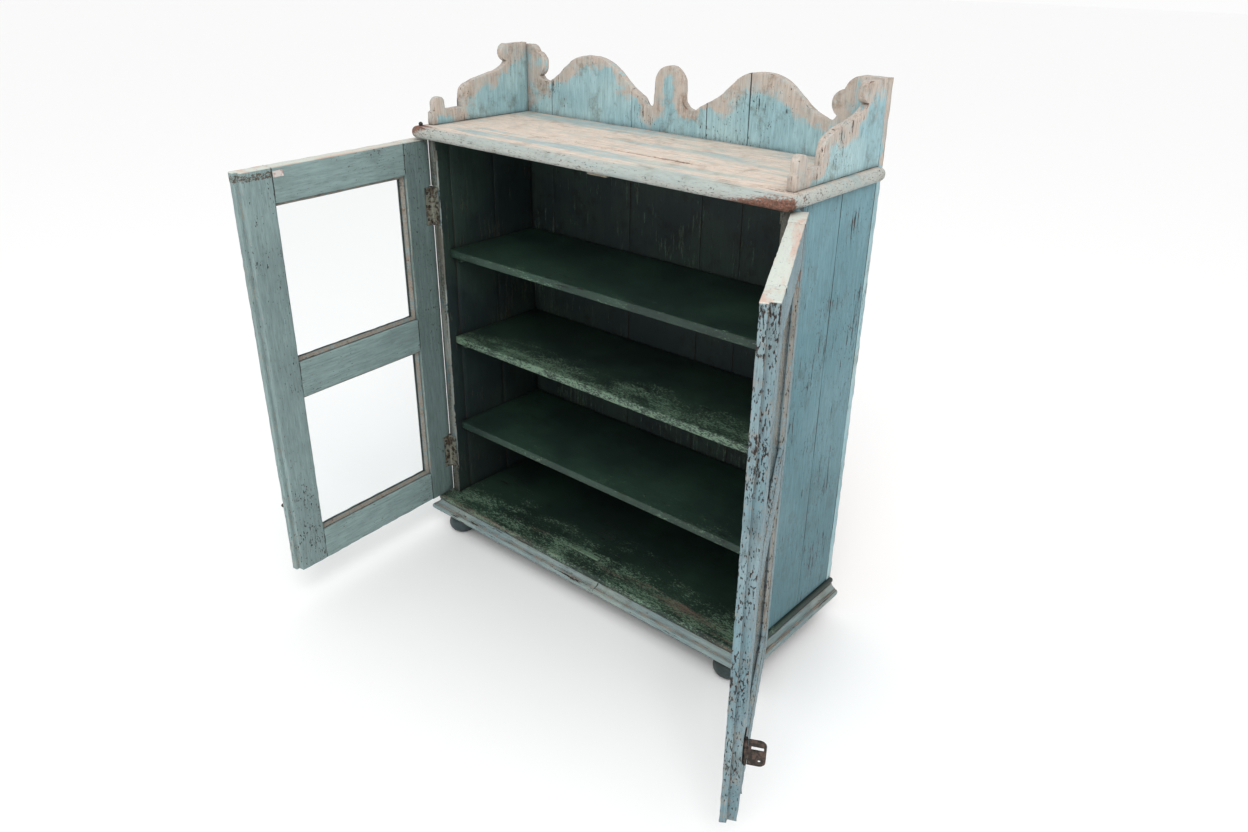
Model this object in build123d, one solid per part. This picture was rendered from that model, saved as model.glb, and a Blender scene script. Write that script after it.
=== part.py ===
from build123d import *
import math
import os

# Painted china cabinet: a boarded carcass on bun feet, two glazed doors, a scrolled gallery on top.
#
# Frame: X to the right, Y to the back, Z up, millimetres. The floor is z = 0, the middle of the
# cabinet's width is x = 0, and the front faces of the two corner posts are the plane y = 0.
# The doors are modelled shut, then swung open about their own hinge pins to the rest position.

os.makedirs("parts", exist_ok=True)

# ---------------------------------------------------------------- carcass
BODY_W = 1000.0          # over the two sides
BODY_D = 335.0           # front of the posts to the back of the back boards
BOARD_T = 22.0           # sides and posts
BACK_T = 20.0            # back boards
SHELF_T = 20.0
POST_D = 42.0            # depth of a corner post
FOOT_H = 55.0            # bun foot, floor to plinth
FLOOR_Z = 100.0          # upper face of the bottom board
CEILING_Z = 1060.0       # under side of the top board
TOP_T = 28.0
TOP_FRONT = 36.0         # the top board runs out past the posts
TOP_SIDE = 18.0
BOTTOM_T = 15.0
BOTTOM_FRONT = 46.0      # the bottom board runs out under the doors
BOTTOM_SIDE = 9.0        # and a little past the sides
SHELF_FRONT = 24.0       # shelves are set back from the posts
SHELF_TOPS = {"lower": 310.0, "middle": 556.0, "upper": 787.0}
SIDE_SEAM = 182.0        # joint between the two boards of a side
BACK_SEAMS = [-500.0, -398.0, -138.0, 78.0, 189.0, 500.0]
CLEAT = 18.0             # square section of a shelf bearer
CHAMFER = 5.0            # stopped chamfer on the inner arris of a post
CHAMFER_STOPS = (75.0, 30.0)    # where it stops, above the floor board and below the top

HALF_W = BODY_W / 2
INSIDE = HALF_W - BOARD_T
BACK_Y = BODY_D - BACK_T
TOP_Z = CEILING_Z + TOP_T

# ---------------------------------------------------------------- plinth and feet
MOULD_BACK = 38.0        # the front moulding's back face, in front of the posts
MOULD_FRONT = 60.0       # and its foot
MOULD_SIDE = 25.0
FOOT_R = 37.0
FOOT_X = 452.0           # foot centres
FOOT_Y = {"front": -14.0, "rear": 276.0}
FOOT_SEAT = 45.0         # half the side of the block that a foot is dowelled into
SCARF_X = 79.0           # joint in the long front moulding
REAR_RAIL_T = 20.0

# ---------------------------------------------------------------- gallery
GALLERY_H = 165.0        # scroll ends above the top board
BRACKET_T = 18.0

# ---------------------------------------------------------------- doors
DOOR_T = 30.0
INNER_T = 14.0           # the meeting edges are stepped at this depth
LIP = 8.0                # how far one step passes the other
DOOR_GAP = 3.0           # above and below a door
FACE_GAP = 1.0           # between a shut door and the posts
EDGE_GAP = 0.1           # hinge edge to the cabinet's side
MEET_X = 1.0             # the left door's inner layer ends here when shut
MEET_GAP = 1.5           # between the two doors
STEP_GAP = 1.0           # between the two steps, front to back
HINGE_STILE = 76.0
MEETING_STILE = 72.0
RAILS = (79.0, 84.0, 76.0)      # bottom, middle and top rail
REBATE = 9.0             # width of the glass rebate
REBATE_D = 20.0          # its depth from the inner face
GLASS_T = 3.0
BEAD = 9.0
TENON = 40.0
TENON_T = 10.0
LEFT_OPEN = 86.0         # rest angles, from shut
RIGHT_OPEN = 117.0

DOOR_Z0 = FLOOR_Z + DOOR_GAP
DOOR_Z1 = CEILING_Z - DOOR_GAP
DOOR_H = DOOR_Z1 - DOOR_Z0
DOOR_W = HALF_W - EDGE_GAP

# ---------------------------------------------------------------- ironwork
LEAF_H = 90.0
LEAF_W = 20.0
LEAF_T = 2.0
KNUCKLE_R = 4.2
KNUCKLES = 5
KNUCKLE_GAP = 0.4
PIN_R = 2.5
PIN_PLAY = 0.05
PIN_X = HALF_W
PIN_Y = -FACE_GAP / 2
KNUCKLE_ROOM = 0.5       # recess in the wood, round the knuckles
HINGE_Z = (180.0, 852.0)      # foot of the lower and of the upper hinge
SCREW_R = 1.6
SCREW_HEAD_R = 3.4
SCREW_L = 15.0
HASP_PIN_X = 18.0        # with the door shut
HASP_Z = 262.0           # middle of the hasp
HASP_H = 56.0
HASP_L = 35.0            # pin to the strap's free end
HASP_T = 2.4
HASP_BASE_W = 26.0
HASP_KNUCKLE_R = 3.6
HASP_STANDOFF = 0.4      # knuckles to the door's face
HASP_PIN_R = 1.8
SLOT_X = -2.0            # middle of the strap's slot, with the hasp shut over the staple
SLOT_L = 21.0            # the slot lies across the strap
SLOT_H = 8.0
SLOT_RISE = 10.0         # above the hasp's middle
STAPLE_R = 2.2
STAPLE_HALF = 6.0        # half the distance between its legs
STAPLE_OUT = 15.0        # how far it stands out of the door
STAPLE_ROOT = 9.0        # how far it is driven in

# ---------------------------------------------------------------- small pieces
NAIL = (-502.0, -16.0)   # the domed nail in the top board's left front corner
NAIL_R = 5.0


def export(shape, name):
    export_step(shape, f"parts/{name}.step")


def block(x0, x1, y0, y1, z0, z1):
    """A box between two corners."""
    size = (x1 - x0, y1 - y0, z1 - z0)
    return Pos((x0 + x1) / 2, (y0 + y1) / 2, (z0 + z1) / 2) * Box(*size)


def rod(radius, height, x, y, z):
    """An upright cylinder that stands on z."""
    return Pos(x, y, z + height / 2) * Cylinder(radius, height)


def flip(shape):
    """The same piece on the other side of the cabinet."""
    return mirror(shape, about=Plane.YZ)


# ================================================================ carcass
def post(hinge_cuts):
    """Left corner post with a chamfered inner arris that stops short of both ends."""
    body = block(-HALF_W, -INSIDE, 0, POST_D, FLOOR_Z, CEILING_Z)
    low = FLOOR_Z + CHAMFER_STOPS[0]
    high = CEILING_Z - CHAMFER_STOPS[1]
    face = make_face(Polyline((-INSIDE, 0), (-INSIDE - CHAMFER, 0), (-INSIDE, CHAMFER), close=True))
    cut = Pos(0, 0, low) * extrude(face, high - low)
    return body - cut - hinge_cuts


def make_carcass(hinge_cuts):
    left_post = post(hinge_cuts)
    export(left_post, "post_left")
    export(flip(left_post), "post_right")
    spans = {"front": (POST_D, SIDE_SEAM), "rear": (SIDE_SEAM, BACK_Y)}
    for place, (y0, y1) in spans.items():
        board = block(-HALF_W, -INSIDE, y0, y1, FLOOR_Z, CEILING_Z)
        export(board, f"side_left_{place}_board")
        export(flip(board), f"side_right_{place}_board")
    export(bottom_board(), "bottom_board")
    nail = corner_nail()
    export(top_board() - nail, "top_board")
    export(nail, "corner_nail")
    for name, top in SHELF_TOPS.items():
        shelf = block(-INSIDE, INSIDE, SHELF_FRONT, BACK_Y, top - SHELF_T, top)
        front = shelf.edges().filter_by(Axis.X).group_by(Axis.Y)[0]
        export(fillet(front, 3), f"shelf_{name}")
    export(cleats(), "shelf_cleats")


def top_board():
    """The top board, with a half-round nosing on its front and both ends."""
    x = HALF_W + TOP_SIDE
    board = block(-x, x, -TOP_FRONT, BACK_Y, CEILING_Z, TOP_Z)
    corners = board.edges().filter_by(Axis.Z).group_by(Axis.Y)[0]
    board = fillet(corners, 10)
    rims = board.edges().filter_by(Axis.Z, reverse=True)
    rims = [e for e in rims if e.center().Y < BACK_Y - 1]
    return fillet(rims, TOP_T / 2 - 1.5)


def bottom_board():
    """The floor of the cabinet. Its rounded edge shows all round, above the plinth moulding."""
    x = HALF_W + BOTTOM_SIDE
    board = block(-x, x, -BOTTOM_FRONT, BODY_D, FLOOR_Z - BOTTOM_T, FLOOR_Z)
    rims = board.edges().filter_by(Axis.Z, reverse=True)
    rims = [e for e in rims if e.center().Y < BODY_D - 1]
    board = fillet(rims, BOTTOM_T / 2 - 1.5)
    return board - block(-HALF_W, HALF_W, BACK_Y, BODY_D + 1, 0, FLOOR_Z + 1)


def cleats():
    """Six bearers, one under each end of the three shelves."""
    solids = []
    for top in SHELF_TOPS.values():
        z1 = top - SHELF_T
        left = block(-INSIDE, -INSIDE + CLEAT, POST_D + 4, BACK_Y - 6, z1 - CLEAT, z1)
        left = chamfer(left.edges().filter_by(Axis.Y).group_by(Axis.Z)[0].sort_by(Axis.X)[-1], 5)
        solids += [left, flip(left)]
    return Compound(children=solids)


# ================================================================ back boards and gallery
def gallery_outline():
    """The upper edge of the back, left to right, as heights above the top board."""
    return Wire([
        Line((-500, 0), (-500, 160)),
        Line((-500, 160), (-474, 160)),
        ThreePointArc((-474, 160), (-458, 156), (-450, 145)),
        ThreePointArc((-450, 145), (-424, 118), (-441, 89)),
        ThreePointArc((-441, 89), (-421, 78), (-398, 84)),
        Spline((-398, 84), (-357, 113), (-320, 138), (-265, 148), tangents=[(1, 0.4), (1, 0)]),
        Spline((-265, 148), (-204, 134), (-160, 103), (-114, 73), tangents=[(1, 0), (1, -0.4)]),
        ThreePointArc((-114, 73), (-104, 66), (-99, 57)),
        ThreePointArc((-99, 57), (-84, 51), (-73, 63)),
        Line((-73, 63), (-71, 104)),
        ThreePointArc((-71, 104), (-31, 145), (9, 104)),
        Line((9, 104), (11, 72)),
        ThreePointArc((11, 72), (32, 56), (57, 66)),
        Spline((57, 66), (104, 91), (158, 136), (222, 151), tangents=[(1, 0.6), (1, 0)]),
        Spline((222, 151), (291, 128), (335, 92), (368, 77), tangents=[(1, 0), (1, -0.3)]),
        ThreePointArc((368, 77), (385, 75), (396, 85)),
        ThreePointArc((396, 85), (382, 110), (407, 136)),
        ThreePointArc((407, 136), (420, 155), (446, GALLERY_H)),
        Line((446, GALLERY_H), (500, GALLERY_H)),
        Line((500, GALLERY_H), (500, 0)),
        Line((500, 0), (-500, 0)),
    ])


def back_boards():
    """Upright boards from the plinth to the top; their upper ends are sawn as the gallery."""
    crest = Plane.XZ.offset(-BACK_Y) * Pos(0, TOP_Z, 0) * make_face(gallery_outline())
    gallery = extrude(crest, -BACK_T)
    wall = block(-HALF_W, HALF_W, BACK_Y, BODY_D, FOOT_H, TOP_Z)
    whole = gallery + wall
    boards = []
    for x0, x1 in zip(BACK_SEAMS, BACK_SEAMS[1:]):
        strip = block(x0, x1, BACK_Y - 1, BODY_D + 1, 0, TOP_Z + 2 * GALLERY_H)
        boards.append(whole & strip)
    return boards


def bracket_outline():
    """Side of the gallery, back to front: scroll, long curve, low rail, small front finial."""
    return Wire([
        Line((BACK_Y, 0), (BACK_Y, GALLERY_H)),
        Line((BACK_Y, GALLERY_H), (253, GALLERY_H)),
        ThreePointArc((253, GALLERY_H), (229, 146), (245, 125)),
        Spline((245, 125), (219, 108), (163, 97), (116, 84), (94, 50),
               tangents=[(-0.7, -1), (-0.1, -1)]),
        Line((94, 50), (94, 33)),
        Line((94, 33), (44, 33)),
        Line((44, 33), (44, 46)),
        ThreePointArc((44, 46), (28, 62), (12, 46)),
        Line((12, 46), (12, 32)),
        Line((12, 32), (4, 28)),
        Line((4, 28), (4, 0)),
        Line((4, 0), (BACK_Y, 0)),
    ])


def bracket():
    face = Plane.YZ.offset(-HALF_W) * Pos(0, TOP_Z, 0) * make_face(bracket_outline())
    return extrude(face, BRACKET_T)


def make_back():
    for number, board in enumerate(back_boards(), start=1):
        export(board, f"back_board_{number}")
    left = bracket()
    export(left, "gallery_bracket_left")
    export(flip(left), "gallery_bracket_right")


# ================================================================ plinth
def moulding_section(depth):
    """Plinth moulding, a round under a hollow: x is the way out from the carcass, y is up."""
    top = FLOOR_Z - BOTTOM_T
    return Wire([
        Line((0, FOOT_H), (depth - 4, FOOT_H)),
        ThreePointArc((depth - 4, FOOT_H), (depth, FOOT_H + 8), (depth - 4, FOOT_H + 16)),
        Line((depth - 4, FOOT_H + 16), (depth - 8, FOOT_H + 16)),
        Line((depth - 8, FOOT_H + 16), (depth - 8, FOOT_H + 18)),
        ThreePointArc((depth - 8, FOOT_H + 18), (depth - 14, FOOT_H + 21), (depth - 17, top)),
        Line((depth - 17, top), (0, top)),
        Line((0, top), (0, FOOT_H)),
    ])


def plinth_parts():
    """Front moulding in two lengths with a slanted joint, and a moulding along each side."""
    depth = MOULD_FRONT - MOULD_BACK
    length = BODY_W + 2 * MOULD_SIDE
    section = Plane(origin=(length / 2, -MOULD_BACK, 0), x_dir=(0, -1, 0), z_dir=(-1, 0, 0))
    front = extrude(section * make_face(moulding_section(depth)), length)
    section = Plane(origin=(-HALF_W, -MOULD_FRONT, 0), x_dir=(-1, 0, 0), z_dir=(0, 1, 0))
    side = extrude(section * make_face(moulding_section(MOULD_SIDE)), BODY_D + MOULD_FRONT)
    mitre = mitre_block()
    front = front & mitre
    side = side - mitre
    slant = make_face(Polyline((-600, -99), (SCARF_X - 14, -99), (SCARF_X + 14, 0), (-600, 0), close=True))
    left_part = extrude(slant, 200)
    return {
        "plinth_front_left": front & left_part,
        "plinth_front_right": front - left_part,
        "plinth_side_left": side,
        "plinth_side_right": flip(side),
        "plinth_rear_rail": block(-HALF_W, HALF_W, BACK_Y - REAR_RAIL_T, BACK_Y, FOOT_H, FLOOR_Z - BOTTOM_T),
    }


def mitre_block():
    """What belongs to the front moulding: everything inside the two corner mitres."""
    depth = MOULD_FRONT - MOULD_BACK
    reach_x = HALF_W + 2 * MOULD_SIDE
    reach_y = MOULD_BACK + 2 * depth
    corners = [(-HALF_W, -MOULD_BACK), (HALF_W, -MOULD_BACK), (reach_x, -reach_y), (-reach_x, -reach_y)]
    return extrude(make_face(Polyline(*corners, close=True)), 200)


def foot():
    """Turned bun foot with a short dowel, its section spun about the upright axis."""
    half = Wire([
        Line((0, 0), (20, 0)),
        ThreePointArc((20, 0), (FOOT_R, 24), (22, 46)),
        Line((22, 46), (26, 48)),
        Line((26, 48), (26, FOOT_H)),
        Line((26, FOOT_H), (9, FOOT_H)),
        Line((9, FOOT_H), (9, FOOT_H + 18)),
        Line((9, FOOT_H + 18), (0, FOOT_H + 18)),
        Line((0, FOOT_H + 18), (0, 0)),
    ])
    return revolve(Plane.XZ * make_face(half), Axis.Z)


def make_plinth():
    for name, shape in plinth_parts().items():
        export(shape, name)
    turned = foot()
    blocks = []
    front_limit = -MOULD_BACK
    back_limit = BACK_Y - REAR_RAIL_T
    for side, x in (("left", -FOOT_X), ("right", FOOT_X)):
        for place, y in FOOT_Y.items():
            placed = Pos(x, y, 0) * turned
            export(placed, f"foot_{place}_{side}")
            y0 = max(y - FOOT_SEAT, front_limit)
            y1 = min(y + FOOT_SEAT, back_limit)
            seat = block(x - FOOT_SEAT, x + FOOT_SEAT, y0, y1, FOOT_H, FLOOR_Z - BOTTOM_T)
            blocks.append(seat - placed)
    export(Compound(children=blocks), "foot_blocks")


# ================================================================ hinges
def knuckle_spans():
    """Height of each hinge knuckle, bottom to top."""
    step = LEAF_H / KNUCKLES
    return [(n * step, (n + 1) * step) for n in range(KNUCKLES)]


def hinge_leaf(on_door):
    """One leaf of a left-hand butt hinge at z = 0: its knuckles alternate with the other leaf's."""
    y0 = -FACE_GAP - LEAF_T if on_door else 0
    plate_x0 = -PIN_X + 1
    leaf = block(plate_x0, plate_x0 + LEAF_W, y0, y0 + LEAF_T, 0, LEAF_H)
    mine = 1 if on_door else 0
    for number, (low, high) in enumerate(knuckle_spans()):
        if number % 2 == mine:
            leaf += rod(KNUCKLE_R, high - low - KNUCKLE_GAP, -PIN_X, PIN_Y, low + KNUCKLE_GAP / 2)
        else:
            leaf -= Pos(-PIN_X, PIN_Y, (low + high) / 2) * Cylinder(KNUCKLE_R + 0.4, high - low)
    leaf -= rod(PIN_R + PIN_PLAY, LEAF_H + 2, -PIN_X, PIN_Y, -1)
    return leaf


def hinge_pin():
    """Steel pin with a small domed head at each end."""
    pin = rod(PIN_R, LEAF_H + 2, -PIN_X, PIN_Y, -1)
    for z in (-3, LEAF_H + 0.6):
        pin += fillet(rod(PIN_R + 1, 2.4, -PIN_X, PIN_Y, z).edges(), 0.9)
    return pin


def screw(x, y, z, into):
    """Countersunk wood screw. Its flat head is at y and it points along +Y or -Y."""
    head = Cone(SCREW_HEAD_R, SCREW_R, 1.8)
    shank = Pos(0, 0, SCREW_L / 2) * Cylinder(SCREW_R, SCREW_L)
    body = Pos(0, 0, 0.9) * head + shank
    body -= Box(6, 0.8, 1.0)
    return Pos(x, y, z) * Rot(X=-90 * into) * body


def leaf_screws(into, y):
    """Three screws in a staggered row, for each of the two hinges."""
    solids = []
    for base in HINGE_Z:
        for z, x in ((13, -485), (45, -490), (77, -485)):
            solids.append(screw(x, y, base + z, into))
    return solids


def fuse(solids):
    """One shape from many, for cutting."""
    total = solids[0]
    for solid in solids[1:]:
        total += solid
    return total


def hinge_set():
    """Everything for the left door's two hinges, shut."""
    post_leaf = hinge_leaf(False)
    door_leaf = hinge_leaf(True)
    post_screws = leaf_screws(1, 0)
    door_screws = leaf_screws(-1, -FACE_GAP)
    post_cut = fuse(post_screws)
    door_cut = fuse(door_screws)
    parts = {
        "post_leaves": [Pos(0, 0, z) * post_leaf - post_cut for z in HINGE_Z],
        "door_leaves": [Pos(0, 0, z) * door_leaf - door_cut for z in HINGE_Z],
        "pins": [Pos(0, 0, z) * hinge_pin() for z in HINGE_Z],
        "post_screws": post_screws,
        "door_screws": door_screws,
    }
    sink = LEAF_T + 0.02
    x1 = -PIN_X + 1 + LEAF_W
    post_pockets = [block(-HALF_W - 1, x1, -1, sink, z, z + LEAF_H) for z in HINGE_Z]
    door_pockets = [block(-HALF_W, x1, -FACE_GAP - sink, 0, z, z + LEAF_H) for z in HINGE_Z]
    recess = [rod(KNUCKLE_R + KNUCKLE_ROOM, LEAF_H + 8, -PIN_X, PIN_Y, z - 4) for z in HINGE_Z]
    parts["post_cuts"] = fuse(post_pockets + recess) + post_cut
    parts["door_cuts"] = fuse(door_pockets + recess) + door_cut
    return parts


# ================================================================ doors
def stile(x0, x1, lip_side):
    """Upright of a door, shut. The glass lip is on the side named by +1 (right) or -1 (left)."""
    y_in = -FACE_GAP
    body = block(x0, x1, y_in - DOOR_T, y_in, DOOR_Z0, DOOR_Z1)
    edge = x1 if lip_side > 0 else x0
    lip = lip_bar(edge, lip_side)
    return body + lip


def lip_profile():
    """Moulded lip in front of the glass: out from the rebate edge, and depth from the inner face."""
    return [(0, REBATE_D), (REBATE, REBATE_D), (REBATE, REBATE_D + 3),
            (REBATE - 5, DOOR_T - 1.5), (0, DOOR_T - 1.5)]


def lip_bar(edge, side):
    points = [(edge + side * out, -FACE_GAP - deep) for out, deep in lip_profile()]
    return Pos(0, 0, DOOR_Z0) * extrude(make_face(Polyline(*points, close=True)), DOOR_H)


def rail(z0, z1, x0, x1, lips):
    """Cross piece of a door with a glass lip above (+1), below (-1) or both, and two tenons."""
    y_in = -FACE_GAP
    body = block(x0, x1, y_in - DOOR_T, y_in, z0, z1)
    for side in lips:
        edge = z1 if side > 0 else z0
        points = [(y_in - deep, edge + side * out) for out, deep in lip_profile()]
        face = Plane.YZ.offset(x0) * make_face(Polyline(*points, close=True))
        body += extrude(face, x1 - x0)
    middle = y_in - DOOR_T / 2
    inset = 10
    tenon = block(x0 - TENON, x1 + TENON, middle - TENON_T / 2, middle + TENON_T / 2, z0 + inset, z1 - inset)
    return body + tenon


def rail_heights():
    """Bottom and top of each rail; the two panes between them are the same height."""
    pane = (DOOR_H - sum(RAILS)) / 2
    low = (DOOR_Z0, DOOR_Z0 + RAILS[0])
    mid = (low[1] + pane, low[1] + pane + RAILS[1])
    high = (mid[1] + pane, DOOR_Z1)
    return {"bottom": low, "middle": mid, "top": high}


def bead(length):
    """Glazing bead lying along X, its back against the glass, mitred at both ends."""
    back = -FACE_GAP - REBATE_D + GLASS_T
    section = [(back, 0), (back, BEAD - 1), (back + 4, BEAD - 1), (back + 10, 2.5), (back + 10, 0)]
    bar = extrude(Plane.YZ * make_face(Polyline(*section, close=True)), length)
    for x, lean in ((0, 1), (length, -1)):
        corner = make_face(Polyline((x - lean, 0), (x - lean, BEAD + 1), (x + lean * (BEAD + 1), BEAD + 1),
                                    (x, 0), close=True))
        bar -= extrude(Plane.XZ * corner, 60, both=True)
    return bar


def bead_frame(x0, x1, z0, z1):
    """Four beads round one pane."""
    middle = Pos((x0 + x1) / 2, 0, (z0 + z1) / 2)
    wide, tall = x1 - x0, z1 - z0
    sides = []
    for turn, length, reach in ((0, wide, tall), (90, tall, wide), (180, wide, tall), (270, tall, wide)):
        placed = Rot(Y=turn) * Pos(-length / 2, 0, -reach / 2) * bead(length)
        sides.append(middle * placed)
    return sides


def door(inner_x, outer_x, hinge_cuts):
    """All wooden and glass pieces of a left-hand door, shut. Its stepped edge ends at these two."""
    x0 = -DOOR_W
    pane_x0 = x0 + HINGE_STILE
    pane_x1 = inner_x - MEETING_STILE
    hinge_side = stile(x0, pane_x0, 1)
    meeting = stile(pane_x1, max(inner_x, outer_x), -1)
    step_y = -FACE_GAP - INNER_T
    if outer_x > inner_x:
        meeting -= block(inner_x, outer_x + 1, step_y - STEP_GAP / 2, 0, DOOR_Z0, DOOR_Z1)
    else:
        outer_y = -FACE_GAP - DOOR_T
        meeting -= block(outer_x, inner_x + 1, outer_y, step_y + STEP_GAP / 2, DOOR_Z0, DOOR_Z1)
    stiles = hinge_side + meeting
    parts = {}
    lips = {"bottom": (1,), "middle": (1, -1), "top": (-1,)}
    core = -FACE_GAP - DOOR_T / 2
    for name, (z0, z1) in rail_heights().items():
        whole = rail(z0, z1, pane_x0, pane_x1, lips[name])
        notch = block(pane_x0 - 1, pane_x1 + 1, -99, 0, DOOR_Z0, DOOR_Z1)
        shoulders = stiles & notch
        tenons = block(x0, inner_x, core - TENON_T / 2, core + TENON_T / 2, z0 + 10, z1 - 10)
        parts[f"{name}_rail"] = whole - (shoulders - tenons)
    tenon_cuts = fuse([parts["bottom_rail"], parts["middle_rail"], parts["top_rail"]])
    parts["hinge_stile"] = hinge_side - tenon_cuts - hinge_cuts
    parts["meeting_stile"] = meeting - tenon_cuts
    heights = rail_heights()
    panes = [(heights["bottom"][1], heights["middle"][0]), (heights["middle"][1], heights["top"][0])]
    glass_y = -FACE_GAP - REBATE_D
    parts["glass_panes"] = [
        block(pane_x0 + 1, pane_x1 - 1, glass_y, glass_y + GLASS_T, z0 + 1, z1 - 1) for z0, z1 in panes
    ]
    parts["glazing_beads"] = []
    for z0, z1 in panes:
        parts["glazing_beads"] += bead_frame(pane_x0, pane_x1, z0, z1)
    return parts


def as_list(shapes):
    return shapes if isinstance(shapes, list) else [shapes]


def grouped(shapes):
    """One exportable shape from one solid or a list of separate solids."""
    return shapes[0] if len(shapes) == 1 else Compound(children=shapes)


def swing(shapes, pin_x, degrees):
    """Turns shapes about an upright hinge pin."""
    spin = Pos(pin_x, PIN_Y, 0) * Rot(Z=degrees) * Pos(-pin_x, -PIN_Y, 0)
    return [spin * shape for shape in shapes]


# ================================================================ hasp and staple
def hasp():
    """Hasp on the right-hand door's meeting edge, shut: base plate, pin and slotted strap."""
    face_y = -FACE_GAP - DOOR_T
    pin_x = HASP_PIN_X
    pin_y = hasp_pin_y()
    z0 = HASP_Z - HASP_H / 2
    base = block(pin_x, pin_x + HASP_BASE_W, face_y - HASP_T, face_y, z0, z0 + HASP_H)
    strap = block(pin_x - HASP_L, pin_x, pin_y - HASP_T / 2, pin_y + HASP_T / 2, z0, z0 + HASP_H)
    strap = fillet(strap.edges().filter_by(Axis.Y).group_by(Axis.X)[0], 12)
    third = HASP_H / 3
    for number in range(3):
        low = z0 + number * third
        barrel = rod(HASP_KNUCKLE_R, third - 0.5, pin_x, pin_y, low + 0.25)
        clear = rod(HASP_KNUCKLE_R + 0.5, third, pin_x, pin_y, low)
        if number == 1:
            strap += barrel
            base -= clear
        else:
            base += barrel
            strap -= clear
    bore = rod(HASP_PIN_R + PIN_PLAY, HASP_H + 2, pin_x, pin_y, z0 - 1)
    slot_z = HASP_Z + SLOT_RISE
    slot = Pos(SLOT_X, pin_y, slot_z) * Box(SLOT_L, HASP_H, SLOT_H)
    padlock_hole = Pos(SLOT_X - 4, pin_y, HASP_Z - 17) * Rot(X=90) * Cylinder(2.8, 20)
    strap = strap - bore - slot - padlock_hole
    pin = rod(HASP_PIN_R, HASP_H + 1, pin_x, pin_y, z0 - 0.5)
    for z in (z0 - 2, z0 + HASP_H + 0.4):
        pin += rod(HASP_PIN_R + 1, 1.6, pin_x, pin_y, z)
    screws = [screw(pin_x + 18, face_y - HASP_T, HASP_Z + dz, 1) for dz in (-20, 0, 20)]
    return base - bore - fuse(screws), strap, pin, screws


def hasp_pin_y():
    return -FACE_GAP - DOOR_T - HASP_STANDOFF - HASP_KNUCKLE_R


def staple():
    """Bent wire staple on the left-hand door's lip; it stands through the strap's slot."""
    face_y = -FACE_GAP - DOOR_T
    level = HASP_Z + SLOT_RISE
    tip = face_y - STAPLE_OUT
    root = face_y + STAPLE_ROOT
    bend = tip + STAPLE_HALF
    left, right = SLOT_X - STAPLE_HALF, SLOT_X + STAPLE_HALF
    path = Wire([
        Line((left, root, level), (left, bend, level)),
        ThreePointArc((left, bend, level), (SLOT_X, tip, level), (right, bend, level)),
        Line((right, bend, level), (right, root, level)),
    ])
    start = Plane(origin=(left, root, level), z_dir=(0, -1, 0))
    return sweep(start * Circle(STAPLE_R), path=path)


def stops():
    """Small blocks the doors close against, under the top and on the bottom board."""
    upper = block(8, 62, 1, 15, CEILING_Z - 12, CEILING_Z)
    lower = block(-66, 38, 3, 17, FLOOR_Z, FLOOR_Z + 5)
    return chamfer(upper.edges().filter_by(Axis.Z), 2), fillet(lower.edges().group_by(Axis.Z)[-1], 2)


def corner_nail():
    """Domed nail driven into the left front corner of the top board."""
    shank = rod(1.5, 18, *NAIL, TOP_Z - 16)
    return shank + Pos(*NAIL, TOP_Z + NAIL_R - 1.8) * Sphere(NAIL_R)


def export_door(side, parts, pin_x, degrees):
    for name, shapes in parts.items():
        export(grouped(swing(as_list(shapes), pin_x, degrees)), f"{side}_{name}")


def main():
    hinges = hinge_set()
    make_carcass(hinges["post_cuts"])
    make_back()
    make_plinth()
    upper, lower = stops()
    export(upper, "door_stop_upper")
    export(lower, "door_stop_lower")

    export(grouped(hinges["post_leaves"]), "left_post_hinge_leaves")
    export(grouped([flip(s) for s in hinges["post_leaves"]]), "right_post_hinge_leaves")
    export(grouped(hinges["pins"]), "left_hinge_pins")
    export(grouped([flip(s) for s in hinges["pins"]]), "right_hinge_pins")
    both = hinges["post_screws"] + [flip(s) for s in hinges["post_screws"]]
    export(grouped(both), "post_hinge_screws")

    left = door(MEET_X, MEET_X + LIP, hinges["door_cuts"])
    right_edge = -MEET_X - MEET_GAP
    right = door(right_edge, right_edge - LIP, hinges["door_cuts"])
    right = {name: [flip(s) for s in as_list(shapes)] for name, shapes in right.items()}
    base, strap, pin, base_screws = hasp()
    loop = staple()
    left["meeting_stile"] = left["meeting_stile"] - loop
    left["staple"] = loop
    left["hinge_leaves"] = hinges["door_leaves"]
    left["door_screws"] = hinges["door_screws"]
    right["meeting_stile"] = [right["meeting_stile"][0] - fuse(base_screws)]
    right["hasp_base"] = base
    right["hasp_pin"] = pin
    right["hinge_leaves"] = [flip(s) for s in hinges["door_leaves"]]
    right["door_screws"] = [flip(s) for s in hinges["door_screws"]] + base_screws
    export_door("left", left, -PIN_X, -LEFT_OPEN)
    export_door("right", right, PIN_X, RIGHT_OPEN)

    hasp_x, hasp_y = HASP_PIN_X, hasp_pin_y()
    raised = Pos(hasp_x, hasp_y, 0) * Rot(Z=90) * Pos(-hasp_x, -hasp_y, 0) * strap
    export(grouped(swing([raised], PIN_X, RIGHT_OPEN)), "hasp_strap")
    for label, x, y, pin_x, degrees in (
        ("hasp pin", hasp_x, hasp_y, PIN_X, RIGHT_OPEN),
        ("staple", SLOT_X, -FACE_GAP - DOOR_T - STAPLE_OUT / 2, -PIN_X, -LEFT_OPEN),
    ):
        turn = math.radians(degrees)
        dx, dy = x - pin_x, y - PIN_Y
        rest_x = pin_x + dx * math.cos(turn) - dy * math.sin(turn)
        rest_y = PIN_Y + dx * math.sin(turn) + dy * math.cos(turn)
        print(label, "at rest", round(rest_x, 3), round(rest_y, 3))


main()
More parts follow.
